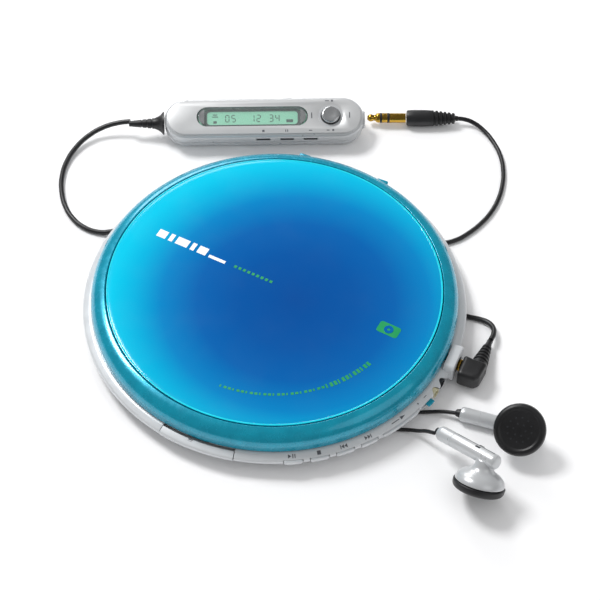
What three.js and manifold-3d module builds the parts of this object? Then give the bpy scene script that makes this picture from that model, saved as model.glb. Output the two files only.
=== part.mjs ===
// Slim round portable CD player with its wired remote and earphones laid out around it.
// Millimetres, +Z up. Origin: centre of the base on the resting surface, -Y is the front
// (the OPEN button), +X is the side with the sockets, +Y is the lid hinge.
import * as THREE from 'three';
import { mergeVertices } from 'three/addons/utils/BufferGeometryUtils.js';
import Module from 'manifold-3d';

const wasm = await Module();
wasm.setup();
const DEG = Math.PI / 180;

// ---- driving dimensions -------------------------------------------------------------
const CASE_R = 65.0;          // widest radius of the lower case
const LIP_R = 62.6;           // top edge of the case, under the lid
const PLINTH_R = 51.0;        // raised foot block under the case; the cords wind round it
const BASE_Z = 0.6;           // underside of the plinth, above the feet
const RIM_Z = 4.3;            // underside of the overhanging rim
const LIP_Z = 7.45;           // top of the case
const LID_R = 62.06;          // outside of the lid skirt
const LID_Z = 7.75;           // lower edge of the lid skirt
const PANEL_R = 56.6;         // blue lid panel
const PANEL_Z = 14.93;        // edge of the lid panel
const CROWN_Z = 15.7;         // top of the lid
const DECK_R = 60.5;          // disc bay floor; a 120 mm disc has a radius of 60
const DECK_Z = 8.0;           // underside of the bay floor
const DECK_T = 0.9;
const DISC_SEAT_Z = 9.7;      // height at which a disc rests on the hub
const MOTOR_R = 11;
const CELL = [67, 16.8, 6.1]; // flat rechargeable cell
const CELL_Y = 28.8;
const CELL_Z = 1.6;
const HINGE_Y = 60.6;
const HINGE_Z = 8.9;
const JACK_TURN = 1;          // direction of the earphone socket, degrees from +X
const JACK_Z = 5.0;
const ROUND = 48;             // segments on the large turned parts
const LAYOUT_TURN = 23;       // the remote and cords are laid out square to this direction
const REMOTE = { len: 71.6, wid: 15.6, h: 8.6, x: -4.8, y: 83.2, z: 2.25, turn: 1.5, tip: 17 };
const REMOTE_CORD_D = 1.8;
const EAR_CORD_D = 1.6;
const BRANCH_D = 1.3;
const LANE = [53.5, 56.0, 58.6, 61.0]; // radii of the cord lanes wound under the rim
const STEM_R = 2.5;

// ---- solids and shapes --------------------------------------------------------------
function solid(geometry, matrix) {
  const g = geometry.clone();
  g.deleteAttribute('normal');
  g.deleteAttribute('uv');
  if (matrix) g.applyMatrix4(matrix);
  const m = mergeVertices(g, 1e-4);
  return new wasm.Manifold(new wasm.Mesh({
    numProp: 3,
    vertProperties: new Float32Array(m.attributes.position.array),
    triVerts: new Uint32Array(m.index.array),
  }));
}

function geometryOf(body) {
  const mesh = body.getMesh();
  const g = new THREE.BufferGeometry();
  g.setAttribute('position', new THREE.BufferAttribute(mesh.vertProperties, 3));
  g.setIndex(new THREE.BufferAttribute(mesh.triVerts, 1));
  g.computeVertexNormals();
  return g;
}

const at = (x, y, z) => new THREE.Matrix4().makeTranslation(x, y, z);
const turnZ = (deg) => new THREE.Matrix4().makeRotationZ(deg * DEG);

// box given by its corners
function block(x0, x1, y0, y1, z0, z1) {
  return solid(new THREE.BoxGeometry(x1 - x0, y1 - y0, z1 - z0),
    at((x0 + x1) / 2, (y0 + y1) / 2, (z0 + z1) / 2));
}

// upright cylinder between two heights
function post(x, y, r, z0, z1, n = 24) {
  const g = new THREE.CylinderGeometry(r, r, z1 - z0, n).rotateX(Math.PI / 2);
  return solid(g, at(x, y, (z0 + z1) / 2));
}

// cylinder lying along +X from x0 to x1
function rod(x0, x1, y, z, r, n = 16) {
  const g = new THREE.CylinderGeometry(r, r, x1 - x0, n).rotateZ(Math.PI / 2);
  return solid(g, at((x0 + x1) / 2, y, z));
}

// profile of [radius, height] pairs turned about Z; first and last points close or lie on it
function turned(profile, n = ROUND) {
  const pts = profile.map(([r, z]) => new THREE.Vector2(r, z));
  return solid(new THREE.LatheGeometry(pts, n).rotateX(Math.PI / 2));
}

const ring = (profile, n = ROUND) => turned([...profile, profile[0]], n);

// upright wedge that keeps the part of a ring between two angles in degrees
function wedge(a0, a1, z0 = -5, z1 = 30, r = 90) {
  const s = new THREE.Shape();
  s.moveTo(0, 0);
  for (let i = 0; i <= 8; i++) {
    const a = (a0 + (a1 - a0) * i / 8) * DEG;
    s.lineTo(r * Math.cos(a), r * Math.sin(a));
  }
  s.closePath();
  return solid(new THREE.ExtrudeGeometry(s, { depth: z1 - z0, bevelEnabled: false }), at(0, 0, z0));
}

const sector = (profile, a0, a1, n = ROUND) => ring(profile, n).intersect(wedge(a0, a1));

// rectangle with rounded corners, as a shape
function roundRect(w, h, r, n = 5) {
  const s = new THREE.Shape();
  const corners = [[1, 1, 0], [-1, 1, 90], [-1, -1, 180], [1, -1, 270]];
  corners.forEach(([sx, sy, a0], k) => {
    for (let i = 0; i <= n; i++) {
      const a = (a0 + 90 * i / n) * DEG;
      const x = sx * (w / 2 - r) + r * Math.cos(a);
      const y = sy * (h / 2 - r) + r * Math.sin(a);
      if (k + i === 0) s.moveTo(x, y); else s.lineTo(x, y);
    }
  });
  s.closePath();
  return s;
}

function plate(w, h, r, z0, z1, x = 0, y = 0, bevel = 0, n = 5) {
  const g = new THREE.ExtrudeGeometry(roundRect(w - 2 * bevel, h - 2 * bevel, r - bevel, n), {
    depth: z1 - z0 - 2 * bevel, bevelEnabled: bevel > 0, bevelThickness: bevel,
    bevelSize: bevel, bevelSegments: 2,
  });
  return solid(g, at(x, y, z0 + bevel));
}

// ---- the scene graph ----------------------------------------------------------------
const group = new THREE.Group();
const layout = new THREE.Group();
layout.rotation.z = LAYOUT_TURN * DEG;
group.add(layout);

const FINISH = {
  white: [0xd9dcde, 0.42, 0.1], silver: [0xc4c7c9, 0.3, 0.6], teal: [0x0b86a8, 0.25, 0.6],
  blue: [0x0571b8, 0.12, 0.2], black: [0x141516, 0.55, 0], grey: [0x8b9094, 0.5, 0],
  dark: [0x2a2d30, 0.5, 0.1], gold: [0xc9a23a, 0.25, 1], steel: [0xa9adb0, 0.3, 1],
  cream: [0xd8d2b4, 0.45, 0], green: [0x1f6b45, 0.5, 0], lcd: [0x88c8ac, 0.35, 0],
  glass: [0xb9d6cc, 0.08, 0], rubber: [0x202122, 0.8, 0], cell: [0x3f6fa8, 0.4, 0.2],
};

function add(name, body, finish, parent = group) {
  const [color, roughness, metalness] = FINISH[finish];
  const material = new THREE.MeshStandardMaterial({ color, roughness, metalness });
  const geometry = body.isBufferGeometry ? body : geometryOf(body);
  const mesh = new THREE.Mesh(geometry, material);
  mesh.name = name;
  parent.add(mesh);
  return mesh;
}

// ---- lower case ---------------------------------------------------------------------
const OPEN_SPAN = [-101.6, -78.4];
const KEYS = [['play_button', -61], ['stop_button', -53.3], ['previous_button', -45.6],
  ['next_button', -37.9]];
const KEY_HALF = 2.8;
const VOLUME_SPAN = [-33.4, -19.4];
const HOLD_TURN = -15.2;
const DC_TURN = -11.2;
const LINE_TURN = -7.3;
const KEY_PROFILE = [[63.2, 4.95], [65.35, 4.95], [65.45, 5.4], [65.45, 6.0], [65.3, 6.35], [63.2, 6.35]];

function caseShell() {
  return ring([
    [PLINTH_R, BASE_Z], [PLINTH_R, 3.6], [51.7, RIM_Z], [62.6, RIM_Z], [64.3, 4.55], [CASE_R, 5.1],
    [CASE_R, 6.0], [64.6, 6.55], [LIP_R, LIP_Z], [61.2, LIP_Z], [61.2, 7.0], [63.4, 6.3],
    [63.4, 5.3], [49.8, 5.3], [49.8, 1.35], [15.0, 1.35], [15.0, BASE_Z],
  ]);
}

function lowerCase() {
  let body = caseShell();
  // centre of the base, set apart by a shallow circular groove
  body = body.add(turned([[0, BASE_Z], [14.4, BASE_Z], [14.4, 0.85], [15.2, 0.85], [15.2, 1.35],
    [0, 1.35]]));
  // socket shelf on the right and the raised boss of the earphone socket
  body = body.add(sector([[55.6, 2.9], [63.8, 2.9], [64.7, 3.6], [64.7, 5.1], [62, 5.1],
    [62, RIM_Z + 0.4], [55.6, RIM_Z + 0.4]], -18, 9));
  body = body.subtract(block(-61.6, -47.4, -12.4, 12.4, 4.72, 5.4));   // way out for the pickup's runners
  body = body.add(jackPlate(54.6, 66.2, 10.8, 2.15, 9.3, 1.6).subtract(post(0, 0, 62.4, 6.3, 20, ROUND))
    .subtract(ring([[49.8, 5.3], [63.4, 5.3], [63.4, 6.3], [61.2, 7.0], [61.2, 20], [49.8, 20]])));
  // hinge lugs and the notch that clears the lid's rear edge
  body = body.subtract(block(-20.5, 20.5, 56.2, 66, 5.8, 12));
  for (const s of [-1, 1]) {
    const x0 = s < 0 ? -12.2 : 9.2;
    body = body.add(block(x0, x0 + 3, 59.0, 62.2, 4.9, HINGE_Z));
    body = body.add(rod(x0, x0 + 3, HINGE_Y, HINGE_Z, 1.6));
    body = body.subtract(rod(x0 - 1, x0 + 4, HINGE_Y, HINGE_Z, 1.15));
  }
  return cutCase(body);
}

// rounded block centred on the earphone socket's axis
function jackPlate(u0, u1, wide, z0, z1, r) {
  const g = new THREE.ExtrudeGeometry(roundRect(wide, z1 - z0, r, 3),
    { depth: u1 - u0, bevelEnabled: false });
  const m = turnZ(JACK_TURN).multiply(at(u0, 0, (z0 + z1) / 2))
    .multiply(new THREE.Matrix4().makeBasis(new THREE.Vector3(0, 1, 0), new THREE.Vector3(0, 0, 1),
      new THREE.Vector3(1, 0, 0)));
  return solid(g, m);
}

function radialRod(turn, u0, u1, z, r, n = 16) {
  const g = new THREE.CylinderGeometry(r, r, u1 - u0, n).rotateZ(Math.PI / 2);
  return solid(g, turnZ(turn).multiply(at((u0 + u1) / 2, 0, z)));
}

function cutCase(body) {
  const cuts = [];
  cuts.push(sector([[62.0, 4.5], [67, 4.5], [67, 9], [60.8, 9], [60.8, 6.9], [62.0, 6.9]],
    OPEN_SPAN[0] - 0.3, OPEN_SPAN[1] + 0.3));
  cuts.push(sector([[60.8, 6.0], [64, 6.0], [64, 9], [60.8, 9]], -93.5, -86.5));
  for (const [, turn] of KEYS) cuts.push(keyHole(turn - KEY_HALF - 0.3, turn + KEY_HALF + 0.3));
  cuts.push(keyHole(VOLUME_SPAN[0] - 0.3, VOLUME_SPAN[1] + 0.3));
  cuts.push(sector([[62.6, 4.9], [67, 4.9], [67, 6.1], [62.6, 6.1]], HOLD_TURN - 3.3, HOLD_TURN + 1.5));
  cuts.push(radialRod(DC_TURN, 55, 67, 4.95, 2.05));
  cuts.push(radialRod(LINE_TURN, 55, 67, 4.95, 2.05));
  cuts.push(radialRod(JACK_TURN, 50, 67, JACK_Z, 2.9, 20));
  for (const s of [-1, 1]) {
    cuts.push(block(-34.6, 34.6, s * CELL_Y - 9.2, s * CELL_Y + 9.2, 0, 2));
    cuts.push(post(s * 44.3, 0, 3.8, 0, 1.0), post(0, s * 44.3, 3.8, 0, 1.0));
    cuts.push(post(s * 43, 14, 1.75, 0, 1.05, 16), post(s * 43, 14, 0.85, 0, 2, 12));
  }
  return cuts.reduce((b, c) => b.subtract(c), body);
}

const keyHole = (a0, a1) => sector([[62.2, 4.65], [67, 4.65], [67, 6.65], [62.2, 6.65]], a0, a1);

add('lower_case', lowerCase(), 'white');

// ---- base fittings ------------------------------------------------------------------
[[44.3, 0], [-44.3, 0], [0, 44.3], [0, -44.3]].forEach(([x, y], i) => {
  add(`foot_${i + 1}`, turned([[0, 0], [3.1, 0], [3.5, 0.25], [3.5, 0.7], [0, 0.7]], 20)
    .transform(move(x, y, 0)), 'rubber');
});

function move(x, y, z) {
  return new THREE.Matrix4().makeTranslation(x, y, z).elements;
}

function baseScrew(x, y) {
  const head = post(x, y, 1.45, 0.65, 0.75, 12).add(post(x, y, 0.55, 0.7, 4.2, 10));
  return head.subtract(block(x - 0.9, x + 0.9, y - 0.15, y + 0.15, 0, 0.69))
    .subtract(block(x - 0.15, x + 0.15, y - 0.9, y + 0.9, 0, 0.69));
}
[[43, 14], [-43, 14]].forEach(([x, y], i) => {
  add(`base_screw_${i + 1}`, baseScrew(x, y), 'steel');
});

// battery lids: a plate with a hinge roll on its inner long edge and a finger notch
['front', 'rear'].forEach((side) => {
  const s = side === 'front' ? -1 : 1;
  let lid = block(-34.3, 34.3, s * CELL_Y - 8.9, s * CELL_Y + 8.9, BASE_Z, 1.3);
  lid = lid.subtract(plate(14, 2.2, 1, 0, 0.9, 0, s * (CELL_Y + 6.2)));
  add(`battery_lid_${side}`, lid, 'white');
  const y = s * CELL_Y;
  const wrap = plate(CELL[0] - 1.6, CELL[1], 2.2, CELL_Z, CELL_Z + CELL[2], -0.8, y, 0.6);
  const nub = block(CELL[0] / 2 - 1.8, CELL[0] / 2 - 0.2, y - 2, y + 2, CELL_Z + 1.8, CELL_Z + 4.3);
  add(side === 'front' ? 'battery_1' : 'battery_2', wrap.add(nub), 'cell');
});

// ---- works inside the case ----------------------------------------------------------
const SLED_X = -24.5;         // lens position at rest, at the start of the disc
const GUIDE_Y = 9.2;
const GUIDE_Z = 6.4;

function deck() {
  let body = turned([[0, DECK_Z], [DECK_R, DECK_Z], [DECK_R, DECK_Z + DECK_T - 0.3],
    [DECK_R - 0.3, DECK_Z + DECK_T], [0, DECK_Z + DECK_T]]);
  body = body.subtract(post(0, 0, 12.2, 7, 12, 48));
  body = body.subtract(block(-59.9, -11, -5.5, 5.5, 7, 12));
  body = body.subtract(block(-5, 5, -63, -58.2, 7, 12));
  return body.subtract(block(-20.5, 20.5, 56.2, 63, 7, 12));
}
add('disc_deck', deck(), 'dark');

add('main_board', block(13.5, 46.5, -13, 13, 2.6, 3.4).subtract(post(43, 0, 2.6, 2, 4, 16)), 'green');
add('spindle_motor', turned([[0, 2.2], [MOTOR_R, 2.2], [MOTOR_R, 6.0], [9.5, 6.8], [2.0, 6.8],
  [2.0, 7.3], [0, 7.3]], 28), 'steel');
add('turntable_hub', turned([[0, 7.6], [4, 7.6], [4, 8.6], [11.6, 8.9], [11.6, DISC_SEAT_Z - 0.4],
  [11.2, DISC_SEAT_Z], [7.45, DISC_SEAT_Z], [7.45, 10.9], [6.6, 11.6], [2.6, 11.6], [2.2, 11.2],
  [0, 11.2]], 28), 'grey');

function sled() {
  let body = block(SLED_X - 3.4, SLED_X + 10.0, -11.4, 11.4, 5.6, 7.2);
  body = body.add(block(SLED_X - 3.4, SLED_X + 3.4, -4.4, 4.4, 5.6, 7.7));
  body = body.add(block(SLED_X - 3.4, SLED_X + 9.0, -11.4, -7, 4.9, 7.6));
  body = body.add(block(SLED_X - 3.4, SLED_X + 9.0, 7, 11.4, 4.9, 7.6));
  return body.subtract(rod(-60, 0, GUIDE_Y, GUIDE_Z, 1.3, 16)).subtract(rod(-60, 0, -GUIDE_Y, GUIDE_Z, 1.4, 16));
}
add('pickup_sled', sled(), 'steel');
add('objective_lens', turned([[0, 8.0], [2.0, 8.0], [2.0, 8.5], [1.4, 8.9], [0, 9.05]], 24)
  .transform(move(SLED_X, 0, 0)), 'glass');
add('guide_rod', rod(-60, -12.6, GUIDE_Y, GUIDE_Z, 0.95, 16), 'steel');
add('lead_screw', rod(-60, -12.6, -GUIDE_Y, GUIDE_Z, 1.0, 16), 'steel');
add('feed_motor', rod(-12.2, 0.5, -14.9, 4.7, 2.7, 20).subtract(rod(-13, -11.7, -14.9, 4.7, 0.8, 12)),
  'grey');

// ---- buttons and sockets round the case ---------------------------------------------
add('open_button', sector([[63.6, 4.75], [64.3, 4.75], [65.25, 5.2], [65.25, 6.1], [64.85, 6.65],
  [62.7, 7.35], [62.7, 7.1], [63.6, 6.7]], OPEN_SPAN[0], OPEN_SPAN[1]), 'white');
for (const [name, turn] of KEYS) {
  add(name, sector(KEY_PROFILE, turn - KEY_HALF, turn + KEY_HALF), 'white');
}
add('volume_rocker', sector(KEY_PROFILE, VOLUME_SPAN[0], VOLUME_SPAN[1]), 'white');
add('hold_switch', sector([[63.0, 5.2], [66.3, 5.2], [66.5, 5.5], [66.3, 5.8], [63.0, 5.8]],
  HOLD_TURN - 1.2, HOLD_TURN + 1.2), 'teal');

function socket(turn, u0, u1, outer, bore, depth, pin) {
  let body = radialRod(turn, u0, u1, 4.95, outer, 20);
  body = body.subtract(radialRod(turn, u1 - depth, u1 + 1, 4.95, bore, 16));
  if (pin) body = body.add(radialRod(turn, u0 + 1, u1 - 0.8, 4.95, pin, 10));
  return body;
}
add('dc_jack', socket(DC_TURN, 56, 64.9, 1.75, 1.3, 7, 0.5), 'cream');
add('line_out_jack', socket(LINE_TURN, 56, 64.6, 1.75, 1.2, 7, 0), 'black');
add('phones_jack', radialRod(JACK_TURN, 50.4, 66.0, JACK_Z, 2.6, 20)
  .subtract(radialRod(JACK_TURN, 51.4, 67, JACK_Z, 2.1, 20)), 'dark');

// ---- lid ----------------------------------------------------------------------------
function lidRing() {
  let body = ring([[61.05, LID_Z], [61.85, LID_Z], [LID_R, LID_Z + 0.25], [LID_R, 10.6], [61.6, 12.1],
    [60.6, 13.4], [59.0, 14.4], [57.0, PANEL_Z], [56.9, 13.9], [55.2, 13.9], [55.2, 13.25],
    [59.3, 13.25], [60.5, 12.3], [61.05, 11.0]]);
  body = body.subtract(block(-16.2, 16.2, 57.4, 66, 5, 11.1));
  for (const s of [-1, 1]) {
    const x0 = s < 0 ? -16.8 : 12.6;
    body = body.add(block(x0, x0 + 4.2, 59.2, 62.0, HINGE_Z, 12.4));
    body = body.add(rod(x0, x0 + 4.2, HINGE_Y, HINGE_Z, 1.7));
    body = body.subtract(rod(x0 - 1, x0 + 6, HINGE_Y, HINGE_Z, 1.15));
  }
  body = body.intersect(post(0, 0, 62.15, 0, 20, ROUND));
  // latch tongue behind the OPEN button
  const hook = block(-2.6, 2.6, -61.2, -59.9, 6.0, 12.0).add(block(-2.6, 2.6, -61.6, -59.9, 6.0, 6.6));
  return body.add(hook);
}
add('lid_ring', lidRing(), 'teal');
add('lid_panel', turned([[0, 14.25], [PANEL_R - 0.2, 14.25], [PANEL_R, 14.45], [PANEL_R, 14.8],
  [PANEL_R - 0.5, PANEL_Z + 0.02], [38, 15.38], [18, 15.63], [0, CROWN_Z]]), 'blue');
add('lid_liner', turned([[0, 12.2], [58.6, 12.2], [58.9, 12.4], [58.9, 12.9], [0, 12.9]]), 'grey');
['left', 'right'].forEach((side) => {
  const x0 = side === 'left' ? -16.6 : 9.4;
  add(`hinge_pin_${side}`, rod(x0, x0 + 7.2, HINGE_Y, HINGE_Z, 0.85, 12), 'steel');
});

// ---- wired remote -------------------------------------------------------------------
const remote = new THREE.Group();
remote.position.set(REMOTE.x, REMOTE.y, REMOTE.z);
remote.rotation.set(REMOTE.tip * DEG, 0, REMOTE.turn * DEG, 'ZXY');
layout.add(remote);
const WINDOW = { x: -4.3, y: 0.2, w: 40, h: 7.6 };
const KNOB = { x: 23.8, y: 0.3, r: 3.2 };
const SPLIT_Z = 3.9;

function remoteTop() {
  const R = REMOTE.wid / 2;
  let body = plate(REMOTE.len, REMOTE.wid, R, SPLIT_Z, REMOTE.h, 0, 0, 1.1, 9);
  body = body.intersect(block(-50, 50, -20, 20, SPLIT_Z + 1.1, 20))
    .add(plate(REMOTE.len, REMOTE.wid, R, SPLIT_Z, SPLIT_Z + 1.2, 0, 0, 0, 9));
  body = body.subtract(plate(WINDOW.w, WINDOW.h, WINDOW.h / 2, 6.2, 20, WINDOW.x, WINDOW.y, 0, 6));
  body = body.subtract(post(KNOB.x, KNOB.y, KNOB.r + 0.35, 7.0, 20, 28));
  body = body.subtract(post(KNOB.x, KNOB.y, 1.3, 3, 20, 12));
  body = body.subtract(plate(60, 11.5, 4, 2, 5.2, 0, 0.4, 0, 3));
  for (const x of REMOTE_KEYS) body = body.subtract(block(x - 2.7, x + 2.7, -8.5, -6.2, 5.2, 6.9));
  return body.subtract(block(6.4, 12.4, 6.2, 8.5, 5.2, 6.8));
}

const REMOTE_KEYS = [-0.4, 8.1, 16.5];
add('remote_top_case', remoteTop(), 'silver', remote);

function remoteBottom() {
  const R = REMOTE.wid / 2;
  let body = plate(REMOTE.len, REMOTE.wid, R, 0, 5, 0, 0, 1.3, 9)
    .intersect(block(-50, 50, -20, 20, -1, SPLIT_Z - 0.3));
  body = body.subtract(plate(62, 12.4, 5, 1.4, 5, 0, 0, 0, 3));
  body = body.subtract(rod(-50, -32, 0, 3.0, 1.3, 12));
  // two cheeks that carry the clip's pin
  for (const x of [-8.6, 7.0]) body = body.add(block(x, x + 1.6, -1.2, 1.0, -1.15, 0.3));
  return body;
}
add('remote_bottom_case', remoteBottom(), 'silver', remote);
add('remote_board', plate(58, 9.8, 3, 3.0, 3.6, 1, 0.4, 0, 3), 'green', remote);
add('remote_display', plate(WINDOW.w - 0.8, WINDOW.h - 0.8, 3.3, 6.5, 7.0, WINDOW.x, WINDOW.y, 0, 6),
  'lcd', remote);
add('remote_window', plate(WINDOW.w - 0.6, WINDOW.h - 0.6, 3.4, 7.3, 8.45, WINDOW.x, WINDOW.y, 0.15, 6),
  'glass', remote);
add('remote_jog_knob', turned([[0, 5.6], [0.95, 5.6], [0.95, 7.3], [KNOB.r, 7.3], [KNOB.r, 9.3],
  [KNOB.r - 0.5, 9.8], [0, 9.6]], 28).transform(move(KNOB.x, KNOB.y, 0)), 'silver', remote);
REMOTE_KEYS.forEach((x, i) => {
  add(`remote_button_${i + 1}`, block(x - 2.4, x + 2.4, -8.0, -6.6, 5.5, 6.6), 'dark', remote);
});
add('remote_hold_switch', block(6.8, 10.0, 6.6, 8.4, 5.5, 6.5), 'silver', remote);

// spring clip under the remote, its jaw resting flat
function remoteClip() {
  const jaw = plate(13.0, 10.2, 1.6, -2.1, -1.1, 0, 2.6, 0.25, 3)
    .rotate([-REMOTE.tip, 0, 0]);
  const lug = block(-6.6, 6.6, -1.2, 1.0, -1.85, -0.3);
  return jaw.add(lug).intersect(block(-20, 20, -20, 20, -9, -0.3));
}
add('remote_clip', remoteClip(), 'grey', remote);

function lyingCone(profile, n = 16) {
  return turned(profile, n).rotate([0, 90, 0]);
}
add('remote_boot', lyingCone([[0, -47.8], [1.05, -47.8], [1.5, -43], [1.95, -39.5], [3.0, -37.2],
  [4.2, -36.15], [0, -36.15]]).transform(move(0, 0, 4.0)), 'black', remote);

// ---- straight plug of the earphone cord ---------------------------------------------
const PLUG = { x: 32.4, y: 87.2, z: 3.05 };
const pinProfile = [[0, 0], [0.7, 0.1], [1.3, 0.9], [1.35, 1.6], [1.0, 2.3], [1.05, 2.9], [1.7, 3.5],
  [1.75, 14.0], [0, 14.0]];
add('jack_pin', lyingCone(pinProfile, 20).transform(move(PLUG.x, PLUG.y, PLUG.z)), 'gold', layout);
const gripProfile = [[0, 14.3], [2.4, 14.3], [2.85, 14.8], [3.0, 19.5], [2.8, 24.3], [2.35, 28.4],
  [1.75, 32.0], [0, 32.0]];
add('jack_grip', lyingCone(gripProfile, 20).transform(move(PLUG.x, PLUG.y, PLUG.z)), 'black', layout);

// ---- right-angle plug in the earphone socket ----------------------------------------
const plugPin = radialRod(JACK_TURN, 51.9, 66.6, JACK_Z, 1.7, 20)
  .add(radialRod(JACK_TURN, 66.4, 67.1, JACK_Z, 2.2, 20));
add('remote_plug_pin', plugPin, 'gold');

function plugBody() {
  const shape = new THREE.Shape();
  [[67.4, -5.6], [73.5, -5.6], [74.9, -4.2], [75.6, 2.6], [69.6, 2.6], [67.4, 3.0]]
    .forEach(([x, y], i) => (i ? shape.lineTo(x, y) : shape.moveTo(x, y)));
  shape.closePath();
  const g = new THREE.ExtrudeGeometry(shape, { depth: 5.2, bevelEnabled: true, bevelThickness: 0.6,
    bevelSize: 0.0, bevelSegments: 1 });
  const block3 = solid(g, turnZ(JACK_TURN).multiply(at(0, 0, 2.4)));
  const arm = new THREE.CylinderGeometry(1.3, 3.0, 13.6, 14);
  const lean = new THREE.Matrix4().makeRotationX(-10 * DEG).multiply(
    new THREE.Matrix4().makeRotationZ(1.5 * DEG));
  const armBody = solid(arm, turnZ(JACK_TURN).multiply(at(72.6, 7.6, 4.3)).multiply(lean));
  return block3.add(armBody);
}
add('remote_plug_body', plugBody(), 'black');

// ---- cords --------------------------------------------------------------------------
const onLane = (r, deg, z) => [r * Math.cos(deg * DEG), r * Math.sin(deg * DEG), z];

// points along the wound part, radius and height given by functions of the angle
function wound(a0, a1, step, radius, height) {
  const n = Math.round((a1 - a0) / step);
  const pts = [];
  for (let i = 0; i <= n; i++) {
    const a = a0 + (a1 - a0) * i / n;
    pts.push(onLane(radius(a), a, height(a)));
  }
  return pts;
}

const ease = (t) => { const k = Math.min(1, Math.max(0, t)); return k * k * (3 - 2 * k); };
const between = (a, a0, a1, r0, r1) => r0 + (r1 - r0) * ease((a - a0) / (a1 - a0));

function cordTube(points, d, steps) {
  const path = new THREE.CatmullRomCurve3(points.map((p) => new THREE.Vector3(...p)), false, 'centripetal');
  const s = new THREE.Shape();
  for (let i = 0; i < 8; i++) {
    const a = (i + 0.5) * 45 * DEG;
    const x = d / 2 * Math.cos(a);
    const y = d / 2 * Math.sin(a);
    if (i) s.lineTo(x, y); else s.moveTo(x, y);
  }
  s.closePath();
  return solid(new THREE.ExtrudeGeometry(s, { steps, bevelEnabled: false, extrudePath: path }));
}

// lead from the right-angle plug, once round the plinth, over its own start, out at the
// left and round to the remote
const REMOTE_CORD = [
  [72.9, -12.9, 3.1], [74.0, -10.0, 2.7], [74.0, -6.9, 2.0], [72.4, -4.2, 1.4], [69.6, -2.6, 1.0],
  [66.0, -1.6, 0.95], [62.0, -0.1, 0.95], [58.3, 2.7, 0.95], [55.4, 7.2, 0.95],
  ...wound(14, 344, 10, () => LANE[0], () => 0.95),
  ...wound(352, 472, 8, (a) => between(a, 348, 372, LANE[0], LANE[1]),
    (a) => 0.95 + 2.15 * (1 - ease(Math.abs(a - 364) / 15))),
  [-26.4, 49.4, 1.2], [-33.4, 45.8, 2.2], [-40.3, 42.1, 2.75], [-46.8, 38.7, 2.75],
  [-52.6, 35.9, 2.4], [-57.8, 34.3, 1.5], [-62.8, 34.6, 0.95], [-67.6, 36.8, 0.95],
  [-71.6, 40.8, 0.95], [-74.6, 46.4, 0.95], [-76.3, 53.2, 0.95], [-76.6, 60.2, 0.95],
  [-75.4, 66.8, 1.1], [-72.6, 72.9, 1.6], [-68.3, 77.9, 2.5], [-62.9, 80.9, 3.9], [-57.6, 81.9, 5.2],
  [-53.1, 82.0, 6.0],
];
add('remote_cord', cordTube(REMOTE_CORD, REMOTE_CORD_D, 76), 'black', layout);

// earphone lead from the straight plug to the splitter under the rim
const EAR_CORD = [
  [64.8, 87.2, 3.0], [67.8, 87.1, 2.7], [71.2, 86.0, 2.0], [74.8, 83.0, 1.2], [78.0, 77.8, 0.85],
  [80.2, 71.4, 0.85], [80.9, 64.6, 0.85], [80.3, 57.6, 0.85], [78.4, 50.6, 0.85], [75.5, 44.6, 0.85],
  [71.8, 39.6, 0.85], [67.5, 35.4, 0.85], [62.9, 32.2, 0.85], [58.2, 30.8, 0.85], [54.0, 31.4, 0.85],
  [50.8, 34.0, 0.85], ...wound(38, 100.4, 6.2, () => 60.0, () => 0.85),
];
add('earphone_cord', cordTube(EAR_CORD, EAR_CORD_D, 34), 'black', layout);

function cordSplitter() {
  const body = plate(4.6, 5.2, 1.6, 0.05, 2.35, 59.9, 0, 0.4, 3);
  return body.rotate([0, 0, 103.4]);
}
add('cord_splitter', cordSplitter(), 'black', layout);

const LEFT_BRANCH = [
  ...wound(106.4, 214, 9, () => LANE[3], () => 0.7),
  ...wound(222, 292, 8.75, (a) => between(a, 214, 252, LANE[3], LANE[2]), () => 0.7),
  [29.0, -51.2, 0.7], [34.2, -49.0, 0.7], [39.4, -48.1, 0.75], [44.0, -48.5, 1.2], [47.6, -50.0, 2.9],
  [50.2, -51.7, 5.2], [52.6, -53.6, 6.9],
];
const RIGHT_BRANCH = [
  ...wound(106.4, 214, 9, () => LANE[2] + 0.1, () => 0.7),
  ...wound(222, 296, 8.2, (a) => between(a, 214, 252, LANE[2] + 0.1, LANE[1]), () => 0.7),
  [30.0, -47.3, 0.7], [35.2, -44.2, 0.7], [40.4, -42.1, 0.7], [45.8, -41.3, 0.75], [51.2, -41.2, 1.1],
  [56.0, -41.6, 1.9], [60.9, -42.8, 2.7],
];
add('left_earbud_cord', cordTube(LEFT_BRANCH, BRANCH_D, 42), 'black', layout);
add('right_earbud_cord', cordTube(RIGHT_BRANCH, BRANCH_D, 42), 'black', layout);

// ---- earbuds: local +Z through the face, local +X along the stem to its closed end ---
function budGroup(origin, stem, face) {
  const x = new THREE.Vector3(...stem).normalize();
  const z = new THREE.Vector3(...face);
  z.addScaledVector(x, -z.dot(x)).normalize();
  const y = new THREE.Vector3().crossVectors(z, x);
  const m = new THREE.Matrix4().makeBasis(x, y, z).setPosition(...origin);
  const g = new THREE.Group();
  g.applyMatrix4(m);
  layout.add(g);
  return g;
}

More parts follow.
